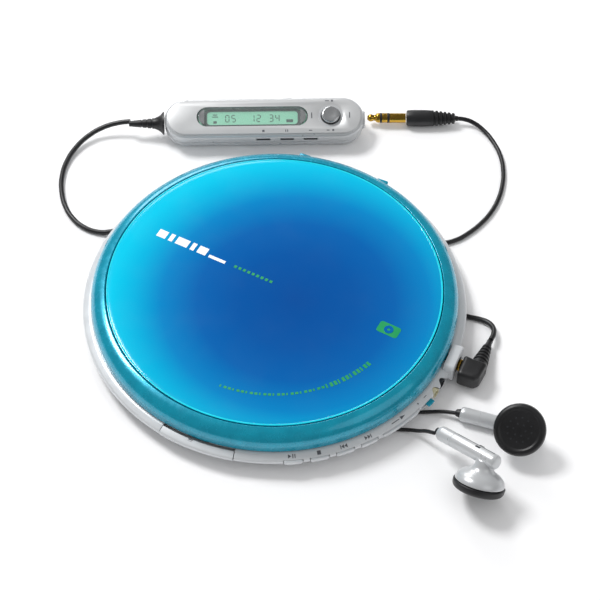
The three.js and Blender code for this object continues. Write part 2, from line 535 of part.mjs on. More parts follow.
function budHousing() {
  const cup = turned([[0, 0.5], [3.0, 0.5], [3.1, 3.2], [4.0, 4.3], [6.4, 5.6], [7.9, 7.2], [8.2, 8.4],
    [0, 8.4]], 24);
  const stem = lyingCone([[0, -21], [1.6, -20.8], [2.3, -20.1], [STEM_R, -19], [STEM_R, 3.2],
    [2.1, 4.3], [1.2, 4.9], [0, 5]], 20);
  return cup.add(stem);
}
function budCover() {
  return turned([[0, 8.7], [8.4, 8.7], [8.6, 9.2], [8.5, 10.4], [7.9, 11.2], [6.6, 11.4], [0, 11.8]], 24);
}
const BUDS = {
  left: budGroup([68.2, -68.2, 14.7], [0.665, -0.675, 0.32], [-0.41, -0.36, -0.84]),
  right: budGroup([81.6, -49.0, 2.65], [0.955, -0.294, 0], [0, -0.61, 0.79]),
};
for (const side of ['left', 'right']) {
  add(`${side}_earbud_housing`, budHousing(), 'silver', BUDS[side]);
  add(`${side}_earbud_cover`, budCover(), 'black', BUDS[side]);
}

export default group;
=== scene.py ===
import math

import bmesh
import bpy
from mathutils import Matrix, Vector


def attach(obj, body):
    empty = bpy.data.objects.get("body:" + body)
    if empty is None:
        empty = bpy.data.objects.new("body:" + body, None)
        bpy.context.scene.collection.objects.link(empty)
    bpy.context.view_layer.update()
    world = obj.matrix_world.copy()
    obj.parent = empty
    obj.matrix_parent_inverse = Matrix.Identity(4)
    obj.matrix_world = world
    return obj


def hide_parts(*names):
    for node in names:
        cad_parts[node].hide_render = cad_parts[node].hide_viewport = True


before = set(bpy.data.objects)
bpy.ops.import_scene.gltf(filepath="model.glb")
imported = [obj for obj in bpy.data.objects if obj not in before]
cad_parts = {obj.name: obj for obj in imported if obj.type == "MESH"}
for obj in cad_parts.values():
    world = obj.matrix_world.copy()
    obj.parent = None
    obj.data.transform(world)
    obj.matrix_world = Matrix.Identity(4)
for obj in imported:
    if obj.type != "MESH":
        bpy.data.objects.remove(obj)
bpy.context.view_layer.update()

MM = 0.001
DEG = math.pi / 180
LAYOUT_TURN = 23 * DEG          # the remote, the cords and the camera stand square to this
TO_LAYOUT = Matrix.Rotation(LAYOUT_TURN, 4, "Z")

CAMERA_AIM = (0.00854, 0.00588, 0)
CAMERA_DISTANCE = 0.800
CAMERA_ELEVATION = 52.42 * DEG
CAMERA_ROLL = 0.41 * DEG
CAMERA_LENS, CAMERA_SENSOR = 140.05, 36
ROOM_LIGHT, ROOM_IN_GLOSS = 0.60, 0.14          # mirror-like surfaces see a darker room
LAMPS = [                       # name, place square to the camera (m), size (m), power (W)
    ("key", (-0.62, 0.55, 1.1), 0.45, 12.5),
    ("fill", (0.9, -0.5, 1.0), 1.0, 1.6),
    ("strip", (-0.25, 1.05, 0.55), 0.5, 3),
]
scene = bpy.context.scene


# ---- camera --------------------------------------------------------------------------
def set_camera():
    back = Vector((0, -math.cos(CAMERA_ELEVATION), math.sin(CAMERA_ELEVATION)))
    place = Vector(CAMERA_AIM) + back * CAMERA_DISTANCE
    turn = (Matrix.Rotation(math.pi / 2 - CAMERA_ELEVATION, 4, "X")
            @ Matrix.Rotation(CAMERA_ROLL, 4, "Z"))
    data = bpy.data.cameras.new("view")
    data.sensor_width = CAMERA_SENSOR
    data.lens = CAMERA_LENS
    data.clip_end = 20
    cam = bpy.data.objects.new("view", data)
    cam.matrix_world = TO_LAYOUT @ Matrix.Translation(place) @ turn
    scene.collection.objects.link(cam)
    scene.camera = cam


set_camera()


# ---- materials -----------------------------------------------------------------------
def linear(r, g, b):
    def one(c):
        c /= 255
        return c / 12.92 if c <= 0.04045 else ((c + 0.055) / 1.055) ** 2.4
    return one(r), one(g), one(b), 1.0


class Shade:
    """A principled material with short helpers for its nodes."""

    def __init__(self, name, color, rough=0.4, metal=0.0, spec=0.5):
        self.mat = bpy.data.materials.new(name)
        self.mat.use_nodes = True
        self.tree = self.mat.node_tree
        self.bsdf = self.tree.nodes["Principled BSDF"]
        self.set("Base Color", linear(*color))
        self.set("Roughness", rough)
        self.set("Metallic", metal)
        self.set("Specular IOR Level", spec)
        self.coords = None

    def set(self, socket, value):
        self.bsdf.inputs[socket].default_value = value

    def node(self, kind):
        return self.tree.nodes.new(kind)

    def link(self, a, b):
        self.tree.links.new(a, b)

    def place(self, scale=(1, 1, 1)):
        """Object coordinates in millimetres, stretched by scale."""
        if self.coords is None:
            self.coords = self.node("ShaderNodeTexCoord")
        m = self.node("ShaderNodeMapping")
        m.inputs["Scale"].default_value = [1000 * s for s in scale]
        self.link(self.coords.outputs["Object"], m.inputs["Vector"])
        return m.outputs["Vector"]

    def noise(self, size_mm, detail=3, scale=(1, 1, 1), rough=0.55):
        n = self.node("ShaderNodeTexNoise")
        n.inputs["Scale"].default_value = 1 / size_mm
        n.inputs["Detail"].default_value = detail
        n.inputs["Roughness"].default_value = rough
        self.link(self.place(scale), n.inputs["Vector"])
        return n.outputs["Fac"]

    def range(self, value, low, high, lo_in=0.3, hi_in=0.7):
        n = self.node("ShaderNodeMapRange")
        for key, v in (("From Min", lo_in), ("From Max", hi_in), ("To Min", low), ("To Max", high)):
            n.inputs[key].default_value = v
        self.link(value, n.inputs["Value"])
        return n.outputs["Result"]

    def vary_rough(self, size_mm, low, high, detail=4):
        self.link(self.range(self.noise(size_mm, detail), low, high), self.bsdf.inputs["Roughness"])

    def mix(self, fac, a, b, mode="MIX"):
        n = self.node("ShaderNodeMix")
        n.data_type = "RGBA"
        n.blend_type = mode
        for socket, v in ((n.inputs[6], a), (n.inputs[7], b)):
            if isinstance(v, tuple):
                socket.default_value = v
            else:
                self.link(v, socket)
        if isinstance(fac, (int, float)):
            n.inputs[0].default_value = fac
        else:
            self.link(fac, n.inputs[0])
        return n.outputs[2]

    def ramp(self, value, stops):
        n = self.node("ShaderNodeValToRGB")
        el = n.color_ramp.elements
        while len(el) < len(stops):
            el.new(0.5)
        for e, (pos, color) in zip(el, stops):
            e.position = pos
            e.color = linear(*color)
        self.link(value, n.inputs["Fac"])
        return n.outputs["Color"]

    def color(self, value):
        self.link(value, self.bsdf.inputs["Base Color"])

    def bump(self, height, strength, distance_mm):
        n = self.node("ShaderNodeBump")
        n.inputs["Strength"].default_value = strength
        n.inputs["Distance"].default_value = distance_mm * MM
        self.link(height, n.inputs["Height"])
        if self.bsdf.inputs["Normal"].is_linked:
            self.link(self.bsdf.inputs["Normal"].links[0].from_socket, n.inputs["Normal"])
        self.link(n.outputs["Normal"], self.bsdf.inputs["Normal"])

    def painted_edge_light(self, amount=0.04):
        """Painted highlight: slightly paler on sharp convex edges, found by pointiness; flats and creases
        keep the base colour.
        """
        g = self.node("ShaderNodeNewGeometry")
        return self.range(g.outputs["Pointiness"], 0, amount, 0.52, 0.7)


def plastic(name, color, rough, spread=0.06, grain=0.25, depth=0.006, tint=0.08, metal=0.0, spec=0.5):
    """Moulded or painted plastic: fine grain, faint mottling, uneven sheen, a painted highlight on sharp
    edges.
    """
    s = Shade(name, color, rough, metal, spec)
    base = linear(*color)
    dark = tuple(c * (1 - tint) for c in base[:3]) + (1,)
    pale = tuple(min(1, c * (1 + tint) + 0.004) for c in base[:3]) + (1,)
    mottled = s.mix(s.range(s.noise(9, 4), 0, 1), dark, pale)
    # painted highlight: a paler copy of the colour, laid on sharp edges
    edge_light_color = tuple(min(1, c * 1.25 + 0.03) for c in base[:3]) + (1,)
    s.color(s.mix(s.painted_edge_light(), mottled, edge_light_color))
    s.vary_rough(3.5, rough - spread, rough + spread)
    s.bump(s.noise(grain, 2), 0.25, depth)
    return s.mat


def blue_panel():
    s = Shade("blue_panel_coat", (0, 84, 158), 0.16, 0.0, 0.3)
    # Partly painted shade: the lid's own radial gradient runs from deep blue in the middle to cyan at the
    # rim, and its centre is moved towards the right and front, away from the key light, so that side stays
    # darker.
    v = s.node("ShaderNodeVectorMath")
    v.operation = "SUBTRACT"
    v.inputs[1].default_value = (9.0, -3.0, 0)
    s.link(s.place((1, 1, 0)), v.inputs[0])
    length = s.node("ShaderNodeVectorMath")
    length.operation = "LENGTH"
    s.link(v.outputs[0], length.inputs[0])
    radial = s.range(length.outputs["Value"], 0, 1, 0, 66)
    deep = s.ramp(radial, [(0.0, (0, 72, 146)), (0.30, (0, 80, 154)), (0.50, (0, 92, 165)),
                           (0.68, (0, 124, 186)), (0.82, (0, 166, 208)), (0.94, (0, 190, 222))])
    flakes = s.node("ShaderNodeTexVoronoi")
    flakes.inputs["Scale"].default_value = 7.0
    s.link(s.place(), flakes.inputs["Vector"])
    glint = s.range(flakes.outputs["Distance"], 0.06, 0.0, 0.0, 0.35)
    s.color(s.mix(glint, deep, linear(0, 165, 220)))
    s.vary_rough(14, 0.10, 0.20)
    s.bump(s.noise(0.5, 2), 0.05, 0.004)
    s.set("Coat Weight", 0.3)
    s.set("Coat Roughness", 0.04)
    s.set("Coat IOR", 1.3)
    return s.mat


def teal_metal():
    s = Shade("teal_lacquer", (0, 150, 178), 0.26, 0.3, 0.5)
    mottle = s.mix(s.range(s.noise(6, 4), 0, 1), linear(0, 142, 170), linear(0, 158, 186))
    # painted highlight: light teal on the sharp edges of the rim
    s.color(s.mix(s.painted_edge_light(0.12), mottle, linear(60, 190, 215)))
    flakes = s.node("ShaderNodeTexVoronoi")
    flakes.inputs["Scale"].default_value = 9.0
    s.link(s.place(), flakes.inputs["Vector"])
    s.bump(flakes.outputs["Distance"], 0.04, 0.006)
    s.vary_rough(2.5, 0.2, 0.32)
    s.set("Coat Weight", 0.6)
    s.set("Coat Roughness", 0.06)
    return s.mat


def brushed(name, color, rough=0.32, stretch=(0.08, 2, 2), metal=1.0):
    s = Shade(name, color, rough, metal)
    streaks = s.noise(0.25, 3, stretch)
    base = linear(*color)
    s.color(s.mix(s.range(streaks, 0, 1), tuple(c * 0.8 for c in base[:3]) + (1,), base))
    s.vary_rough(1.5, rough - 0.08, rough + 0.08)
    s.bump(streaks, 0.12, 0.01)
    return s.mat


def clear(name, color, alpha=0.08, rough=0.04):
    """Thin clear plastic: mostly see-through, with its gloss kept."""
    s = Shade(name, color, rough)
    s.set("Alpha", alpha)
    s.vary_rough(4, rough, rough + 0.04)
    s.bump(s.noise(2.5, 2), 0.03, 0.01)
    return s.mat


SATIN = {"spread": 0.03, "tint": 0.02, "grain": 0.3, "depth": 0.002}
MAT = {
    "white": plastic("white_satin_paint", (208, 211, 214), 0.34, tint=0.03, metal=0.2),
    "blue": blue_panel(),
    "teal": teal_metal(),
    # painted highlight: the bright cyan ring at the lid panel's edge stands in for light caught by its
    # chamfer
    "edge": plastic("cyan_edge_highlight", (20, 205, 226), 0.15, tint=0.05, spec=0.6),
    "silver": plastic("silver_paint", (200, 202, 204), 0.30, metal=0.35, **SATIN),
    "bright": plastic("bright_silver", (214, 216, 218), 0.2, tint=0.03, metal=0.85, grain=0.12),
    "face": plastic("remote_face_paint", (200, 201, 202), 0.36, metal=0.3, **SATIN),
    "black": plastic("black_moulding", (26, 26, 28), 0.42, tint=0.2, grain=0.3, depth=0.01),
    "cord": plastic("cord_jacket", (27, 27, 29), 0.38, tint=0.2, grain=0.5, depth=0.01),
    "dark": plastic("dark_moulding", (44, 46, 50), 0.5, tint=0.15),
    "grey": plastic("grey_moulding", (150, 154, 158), 0.45, tint=0.06),
    "deck": plastic("deck_texture", (58, 61, 66), 0.5, tint=0.12, grain=0.35, depth=0.03),
    "rubber": plastic("foot_rubber", (32, 32, 33), 0.75, tint=0.2, grain=0.4, depth=0.03, spec=0.3),
    "board": plastic("solder_mask", (20, 92, 56), 0.35, tint=0.2),
    "cell": plastic("cell_sleeve", (58, 104, 160), 0.3, tint=0.1),
    "cream": plastic("cream_moulding", (206, 200, 168), 0.4, tint=0.06),
    "ink": plastic("grey_print", (84, 86, 92), 0.5, tint=0.1),
    "ink_green": plastic("green_print", (0, 150, 84), 0.4, tint=0.08),
    "ink_white": plastic("white_print", (236, 242, 245), 0.4, tint=0.02),
    "lcd": plastic("lcd_ground", (134, 202, 172), 0.35, tint=0.04),
    "lcd_mark": plastic("lcd_segments", (38, 62, 58), 0.4, tint=0.1),
    "steel": brushed("brushed_steel", (176, 178, 182)),
    "gold": brushed("gold_plate", (214, 170, 70), 0.22, (0.3, 2, 2)),
    "glass": clear("clear_window", (226, 240, 236)),
}


# ---- mesh helpers --------------------------------------------------------------------
def finish_mesh(name, bm, mat, sharp=32):
    bmesh.ops.recalc_face_normals(bm, faces=bm.faces)
    mesh = bpy.data.meshes.new(name)
    bm.to_mesh(mesh)
    bm.free()
    mesh.materials.append(MAT[mat])
    for p in mesh.polygons:
        p.use_smooth = True
    mesh.set_sharp_from_angle(angle=sharp * DEG)
    obj = bpy.data.objects.new(name, mesh)
    scene.collection.objects.link(obj)
    return obj


def bake(obj, sharp=32):
    """Applies the modifiers and shades smooth again."""
    deps = bpy.context.evaluated_depsgraph_get()
    mesh = bpy.data.meshes.new_from_object(obj.evaluated_get(deps))
    bm = bmesh.new()
    bm.from_mesh(mesh)
    bmesh.ops.remove_doubles(bm, verts=bm.verts, dist=0.000002)
    bmesh.ops.dissolve_degenerate(bm, dist=0.000001, edges=bm.edges)
    bm.to_mesh(mesh)
    bm.free()
    obj.modifiers.clear()
    obj.data = mesh
    for p in mesh.polygons:
        p.use_smooth = True
    mesh.set_sharp_from_angle(angle=sharp * DEG)
    return obj


def combine(obj, others, operation="DIFFERENCE", sharp=32):
    for o in others:
        m = obj.modifiers.new("cut", "BOOLEAN")
        m.operation = operation
        m.solver = "MANIFOLD"
        m.object = o
    bake(obj, sharp)
    for o in others:
        bpy.data.objects.remove(o)
    return obj


def fillet(points, radius, closed=True, steps=4):
    """Rounds the corners of a profile of (r, z) pairs."""
    out = []
    n = len(points)
    for i, p in enumerate(points):
        if not closed and i in (0, n - 1):
            out.append(p)
            continue
        p = Vector(p)
        a, b = Vector(points[i - 1]) - p, Vector(points[(i + 1) % n]) - p
        cut = min(radius, a.length * 0.45, b.length * 0.45)
        if a.angle(b) > 176 * DEG or cut < 0.02:
            out.append(tuple(p))
            continue
        start, end = p + a.normalized() * cut, p + b.normalized() * cut
        for k in range(steps + 1):
            t = k / steps
            q = start * (1 - t) ** 2 + p * 2 * t * (1 - t) + end * t ** 2
            out.append(tuple(q))
    return out


def lathe(name, profile, mat, segs=192, closed=True, matrix=None, sharp=32):
    """A profile of (radius, height) in mm turned about Z; open profiles start and end on the axis."""
    bm = bmesh.new()
    rings = []
    for r, z in profile:
        if r < 1e-6:
            rings.append([bm.verts.new((0, 0, z * MM))])
            continue
        rings.append([bm.verts.new((r * MM * math.cos(a), r * MM * math.sin(a), z * MM))
                      for a in (2 * math.pi * k / segs for k in range(segs))])
    pairs = list(zip(rings, rings[1:])) + ([(rings[-1], rings[0])] if closed else [])
    for low, high in pairs:
        for k in range(segs):
            loop = [low[k % len(low)], low[(k + 1) % segs % len(low)],
                    high[(k + 1) % segs % len(high)], high[k % len(high)]]
            loop = list(dict.fromkeys(loop))
            if len(loop) > 2:
                bm.faces.new(loop)
    if matrix is not None:
        bm.transform(matrix)
    return finish_mesh(name, bm, mat, sharp)


def sector(name, profile, a0, a1, mat, steps=None, shape=None, sharp=32):
    """Part of a turned ring between two angles; shape(t, r, z) may reshape it, t from -1 to 1."""
    steps = steps or max(6, int(abs(a1 - a0) / 1.0))
    bm = bmesh.new()
    rings = []
    for k in range(steps + 1):
        t = 2 * k / steps - 1
        a = (a0 + (a1 - a0) * k / steps) * DEG
        row = []
        for r, z in profile:
            if shape:
                r, z = shape(t, r, z)
            row.append(bm.verts.new((r * MM * math.cos(a), r * MM * math.sin(a), z * MM)))
        rings.append(row)
    n = len(profile)
    for low, high in zip(rings, rings[1:]):
        for i in range(n):
            bm.faces.new((low[i], low[(i + 1) % n], high[(i + 1) % n], high[i]))
    bm.faces.new(rings[0])
    bm.faces.new(rings[-1])
    return finish_mesh(name, bm, mat, sharp)


def outline(w, h, r, n=10):
    """Rounded rectangle, corner by corner, in mm."""
    r = min(r, w / 2 - 1e-4, h / 2 - 1e-4)
    pts = []
    for sx, sy, a0 in ((1, 1, 0), (-1, 1, 90), (-1, -1, 180), (1, -1, 270)):
        for i in range(n + 1):
            a = (a0 + 90 * i / n) * DEG
            pts.append((sx * (w / 2 - r) + r * math.cos(a), sy * (h / 2 - r) + r * math.sin(a)))
    return pts


def stack(name, w, h, r, levels, mat, matrix=None, centre=(0, 0), n=10, sharp=32):
    """Rounded plate built up from (height, inset) levels."""
    bm = bmesh.new()
    loops = []
    for z, inset in levels:
        pts = outline(w - 2 * inset, h - 2 * inset, max(0.02, r - inset), n)
        loops.append([bm.verts.new(((x + centre[0]) * MM, (y + centre[1]) * MM, z * MM)) for x, y in pts])
    count = len(loops[0])
    for low, high in zip(loops, loops[1:]):
        for i in range(count):
            bm.faces.new((low[i], low[(i + 1) % count], high[(i + 1) % count], high[i]))
    bm.faces.new(loops[0])
    bm.faces.new(loops[-1])
    if matrix is not None:
        bm.transform(matrix)
    return finish_mesh(name, bm, mat, sharp)


def soft_levels(z0, z1, r0, r1, steps=5):
    """Levels with rounded lower and upper edges of radius r0 and r1."""
    out = [(z0 + r0 * (1 - math.cos(a)), r0 * (1 - math.sin(a)))
           for a in (k * math.pi / 2 / steps for k in range(steps + 1))] if r0 else [(z0, 0)]
    out += [(z1 - r1 * (1 - math.sin(a)), r1 * (1 - math.cos(a)))
            for a in (k * math.pi / 2 / steps for k in range(steps + 1))] if r1 else [(z1, 0)]
    return out


def slab(x0, x1, y0, y1, z0, z1, mat="white", matrix=None, name="cutter", soft=0.0):
    """A block, with its edges eased where soft is given."""
    bm = bmesh.new()
    bmesh.ops.create_cube(bm, size=1)
    for v in bm.verts:
        v.co = ((x0 + (x1 - x0) * (v.co.x + 0.5)) * MM, (y0 + (y1 - y0) * (v.co.y + 0.5)) * MM,
                (z0 + (z1 - z0) * (v.co.z + 0.5)) * MM)
    if soft:
        bmesh.ops.bevel(bm, geom=bm.edges[:], offset=soft * MM, segments=3, affect="EDGES", profile=0.5)
    if matrix is not None:
        bm.transform(matrix)
    return finish_mesh(name, bm, mat)


def prisms(name, polygons, low, top, mat, matrix=None):
    """Flat shapes such as printing or small holes; low and top give their heights in mm at (x, y)."""
    bm = bmesh.new()
    for poly in polygons:
        under, over = ([bm.verts.new((x * MM, y * MM, height(x, y) * MM)) for x, y in poly]
                       for height in (low, top))
        for i in range(len(poly)):
            j = (i + 1) % len(poly)
            bm.faces.new((under[i], under[j], over[j], over[i]))
        bm.faces.new(over)
        bm.faces.new(under)
    if matrix is not None:
        bm.transform(matrix)
    return finish_mesh(name, bm, mat)


def level(z):
    return lambda x, y: z


ALONG_X = Matrix.Rotation(math.pi / 2, 4, "Y")     # turns a lathe's Z axis onto +X


def shift(x, y, z):
    return Matrix.Translation((x * MM, y * MM, z * MM))


def around(deg):
    return Matrix.Rotation(deg * DEG, 4, "Z")


def settle(obj, body, *nodes, slot=None):
    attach(obj, body)
    if nodes:
        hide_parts(*nodes)
    return obj


# ---- cords ---------------------------------------------------------------------------
LANE = (53.5, 56.0, 58.6, 61.0)


def on_lane(r, deg, z):
    return (r * math.cos(deg * DEG), r * math.sin(deg * DEG), z)


def wound(a0, a1, step, radius, height):
    n = math.floor((a1 - a0) / step + 0.5)
    return [on_lane(radius(a), a, height(a)) for a in (a0 + (a1 - a0) * i / n for i in range(n + 1))]


def ease(t):
    k = min(1, max(0, t))
    return k * k * (3 - 2 * k)


def between(a, a0, a1, r0, r1):
    return r0 + (r1 - r0) * ease((a - a0) / (a1 - a0))


REMOTE_CORD = [
    (72.9, -12.9, 3.1), (74.0, -10.0, 2.7), (74.0, -6.9, 2.0), (72.4, -4.2, 1.4), (69.6, -2.6, 1.0),
    (66.0, -1.6, 0.95), (62.0, -0.1, 0.95), (58.3, 2.7, 0.95), (55.4, 7.2, 0.95),
    *wound(14, 344, 10, lambda a: LANE[0], lambda a: 0.95),
    *wound(352, 472, 8, lambda a: between(a, 348, 372, LANE[0], LANE[1]),
           lambda a: 0.95 + 2.15 * (1 - ease(abs(a - 364) / 15))),
    (-26.4, 49.4, 1.2), (-33.4, 45.8, 2.2), (-40.3, 42.1, 2.75), (-46.8, 38.7, 2.75),
    (-52.6, 35.9, 2.4), (-57.8, 34.3, 1.5), (-62.8, 34.6, 0.95), (-67.6, 36.8, 0.95),
    (-71.6, 40.8, 0.95), (-74.6, 46.4, 0.95), (-76.3, 53.2, 0.95), (-76.6, 60.2, 0.95),
    (-75.4, 66.8, 1.1), (-72.6, 72.9, 1.6), (-68.3, 77.9, 2.5), (-62.9, 80.9, 3.9), (-57.6, 81.9, 5.2),
    (-53.1, 82.0, 6.0),
]
EAR_CORD = [
    (64.8, 87.2, 3.0), (67.8, 87.1, 2.7), (71.2, 86.0, 2.0), (74.8, 83.0, 1.2), (78.0, 77.8, 0.85),
    (80.2, 71.4, 0.85), (80.9, 64.6, 0.85), (80.3, 57.6, 0.85), (78.4, 50.6, 0.85), (75.5, 44.6, 0.85),
    (71.8, 39.6, 0.85), (67.5, 35.4, 0.85), (62.9, 32.2, 0.85), (58.2, 30.8, 0.85), (54.0, 31.4, 0.85),
    (50.8, 34.0, 0.85), *wound(38, 100.4, 6.2, lambda a: 60.0, lambda a: 0.85),
]
LEFT_BRANCH = [
    *wound(106.4, 214, 9, lambda a: LANE[3], lambda a: 0.7),
    *wound(222, 292, 8.75, lambda a: between(a, 214, 252, LANE[3], LANE[2]), lambda a: 0.7),
    (29.0, -51.2, 0.7), (34.2, -49.0, 0.7), (39.4, -48.1, 0.75), (44.0, -48.5, 1.2), (47.6, -50.0, 2.9),
    (50.2, -51.7, 5.2), (52.6, -53.6, 6.9),
]
RIGHT_BRANCH = [
    *wound(106.4, 214, 9, lambda a: LANE[2] + 0.1, lambda a: 0.7),
    *wound(222, 296, 8.2, lambda a: between(a, 214, 252, LANE[2] + 0.1, LANE[1]), lambda a: 0.7),
    (30.0, -47.3, 0.7), (35.2, -44.2, 0.7), (40.4, -42.1, 0.7), (45.8, -41.3, 0.75), (51.2, -41.2, 1.1),
    (56.0, -41.6, 1.9), (60.9, -42.8, 2.7),
]


def cord_curve(name, points, diameter, node):
    curve = bpy.data.curves.new(name, "CURVE")
    curve.dimensions = "3D"
    curve.bevel_depth = diameter / 2 * MM
    curve.bevel_resolution = 5
    curve.resolution_u = 10
    curve.use_fill_caps = True
    spline = curve.splines.new("BEZIER")
    spline.bezier_points.add(len(points) - 1)
    for bp, p in zip(spline.bezier_points, points):
        bp.co = TO_LAYOUT @ (Vector(p) * MM)
        bp.handle_left_type = bp.handle_right_type = "AUTO"
    curve.materials.append(MAT["cord"])
    obj = bpy.data.objects.new(name, curve)
    scene.collection.objects.link(obj)
    return settle(obj, "player", node, slot="cord_black")


remote_cord = cord_curve("remote_lead", REMOTE_CORD, 1.8, "remote_cord")
ear_cord = cord_curve("earphone_lead", EAR_CORD, 1.6, "earphone_cord")
left_branch = cord_curve("left_earbud_lead", LEFT_BRANCH, 1.3, "left_earbud_cord")
right_branch = cord_curve("right_earbud_lead", RIGHT_BRANCH, 1.3, "right_earbud_cord")

# ---- lower case ----------------------------------------------------------------------
CASE = [(51, 0.6), (51, 3.6), (51.7, 4.3), (62.6, 4.3), (64.3, 4.55), (65, 5.1), (65, 6.0), (64.6, 6.55),
        (62.6, 7.45), (61.2, 7.45), (61.2, 7.0), (63.4, 6.3), (63.4, 5.3), (49.8, 5.3), (49.8, 1.35),
        (15, 1.35), (15, 0.6)]
JACK_TURN, LINE_TURN, DC_TURN = 1.0, -7.3, -11.2         # sockets round the rim, degrees
JACK_Z = 5.0
CELL_Y, FOOT_R, SCREW_X, SCREW_Y = 28.8, 44.3, 43, 14
KEY_SPANS = [(-63.8, -58.2), (-56.1, -50.5), (-48.4, -42.8), (-40.7, -35.1), (-33.4, -19.4)]
OPEN_SPAN = (-101.6, -78.4)


def ring_cut(r0, r1, z0, z1, a0, a1):
    return sector("cutter", [(r0, z0), (r1, z0), (r1, z1), (r0, z1)], a0, a1, "dark")


def peg(radius, z0, z1, matrix, segs=48):
    return lathe("cutter", [(0, z0), (radius, z0), (radius, z1), (0, z1)], "dark", segs, closed=False,
                 matrix=matrix)


def build_case():
    body = lathe("case_shell", fillet(CASE, 0.5), "white", segs=256)
    disc = [(0, 0.6), (14.4, 0.6), (14.4, 0.85), (15.2, 0.85), (15.2, 1.35), (0, 1.35)]
    shelf = [(55.6, 2.9), (63.8, 2.9), (64.7, 3.6), (64.7, 5.1), (62, 5.1), (62, 4.7), (55.6, 4.7)]
    extra = [lathe("cutter", disc, "white", 96, closed=False),
             sector("cutter", fillet(shelf, 0.4), -18, 9, "white")]
    extra += [slab(x * 10.7 - 1.5, x * 10.7 + 1.5, 59.0, 62.2, 4.9, 8.9) for x in (-1, 1)]
    body = combine(body, extra, "UNION")
    cuts = [ring_cut(61.6, 66.5, 4.7, 7.6, OPEN_SPAN[0] - 0.25, OPEN_SPAN[1] + 0.25),
            ring_cut(60.8, 64, 6.0, 9, -93.5, -86.5), ring_cut(62.6, 66.5, 4.9, 6.1, -18.5, -13.7),
            slab(-61.6, -47.4, -12.4, 12.4, 4.72, 5.4), slab(-9.1, 9.1, 56.2, 66, 5.8, 12),
            slab(-20.5, -12.3, 56.2, 66, 5.8, 12), slab(12.3, 20.5, 56.2, 66, 5.8, 12)]
    cuts += [ring_cut(62.2, 66.5, 4.85, 6.5, a0 - 0.1, a1 + 0.1) for a0, a1 in KEY_SPANS]
    for turn, radius in ((DC_TURN, 2.05), (LINE_TURN, 2.05), (JACK_TURN, 2.9)):
        cuts.append(peg(radius, 50, 67, around(turn) @ shift(0, 0, JACK_Z) @ ALONG_X))
    for side in (-1, 1):
        cuts.append(slab(-34.6, 34.6, side * CELL_Y - 9.2, side * CELL_Y + 9.2, 0, 2))
        for x, y, radius, top in ((side * FOOT_R, 0, 3.8, 1.0), (0, side * FOOT_R, 3.8, 1.0),
                                  (side * SCREW_X, SCREW_Y, 1.75, 1.05),
                                  (side * SCREW_X, SCREW_Y, 0.85, 2)):
            cuts.append(peg(radius, 0, top, shift(x, y, 0)))
    body = combine(body, cuts)
    settle(body, "player", "lower_case", slot="white_shell")
    levels = [(62.6, 0), (65.6, 0), (65.95, 0.12), (66.13, 0.35), (66.2, 0.7)]
    boss = stack("socket_boss", 7.1, 10.8, 1.6, levels, "white",
                 around(JACK_TURN) @ ALONG_X @ shift(-5.72, 0, 0))
    boss = combine(boss, [peg(2.9, 60, 70, around(JACK_TURN) @ shift(0, 0, JACK_Z) @ ALONG_X, 32)])
    settle(boss, "player", slot="white_shell")


build_case()


def key_cap(name, node, body, span, mat="white"):
    """A key in the flank of the case, its face pillowed and its ends rounded."""
    profile = fillet([(63.2, 4.98), (65.35, 4.98), (65.45, 5.4), (65.45, 6.0), (65.3, 6.33),
                      (63.2, 6.33)], 0.2)

    def shape(t, r, z):
        fall = 0.35 * max(0, (abs(t) - 0.72) / 0.28) ** 2
        narrow = 1 - 0.25 * max(0, (abs(t) - 0.85) / 0.15) ** 2
        return (r - fall if r > 64 else r), 5.65 + (z - 5.65) * narrow

    settle(sector(name, profile, span[0], span[1], mat, 36, shape), body, node, slot="white_shell")


for label, span in zip(("play", "stop", "previous", "next"), KEY_SPANS):
    key_cap(label + "_cap", label + "_button", label + "_key", (span[0] + 0.1, span[1] - 0.1))
key_cap("volume_cap", "volume_rocker", "volume_key", KEY_SPANS[4])
settle(sector("open_cap", fillet([(63.6, 4.75), (64.3, 4.75), (65.25, 5.2), (65.25, 6.1), (64.85, 6.65),
                                  (62.7, 7.35), (62.7, 7.1), (63.6, 6.7)], 0.3), *OPEN_SPAN, "white", 60),
       "opener", "open_button", slot="white_shell")


# ---- lid -----------------------------------------------------------------------------
def build_lid():
    ring = [(61.05, 7.75), (61.85, 7.75), (62.06, 8.0), (62.06, 10.6), (61.6, 12.1), (60.6, 13.4), (59, 14.4),
            (57.4, 14.9), (57.0, 14.88), (56.9, 13.9), (55.2, 13.9), (55.2, 13.25), (59.3, 13.25),
            (60.5, 12.3), (61.05, 11)]
    body = lathe("lid_rim", fillet(ring, 0.8), "teal", segs=256)
    body = combine(body, [slab(-16.2, 16.2, 57.4, 66, 5, 11.1)])
    lobes = []
    for s in (-1, 1):
        lobes.append(slab(s * 14.7 - 2.1, s * 14.7 + 2.1, 58.6, 60.9, 7.8, 12.0, "teal", soft=0.5))
    lobes.append(slab(-2.6, 2.6, -61.2, -59.9, 6.0, 12.0, "teal", soft=0.3))
    body = combine(body, lobes, "UNION")
    settle(body, "lid", "lid_ring", slot="teal_metal")
    crown = [(0, 15.7), (18, 15.63), (38, 15.38), (47, 15.2), (54.5, 15.0), (55.9, 14.93), (56.35, 14.8),
             (56.5, 14.6), (56.5, 14.25), (0, 14.25)]
    settle(lathe("lid_top", crown, "blue", segs=256, closed=False), "lid", "lid_panel", slot="blue_panel")
    # Painted highlight: a thin bright cyan ring at the panel's edge, for the light its chamfer catches.
    line = [(56.0, 14.93), (56.42, 14.78), (56.55, 14.62), (56.58, 14.95), (56.3, 15.02)]
    settle(lathe("lid_edge_highlight_ring", line, "edge", segs=256), "lid")


build_lid()


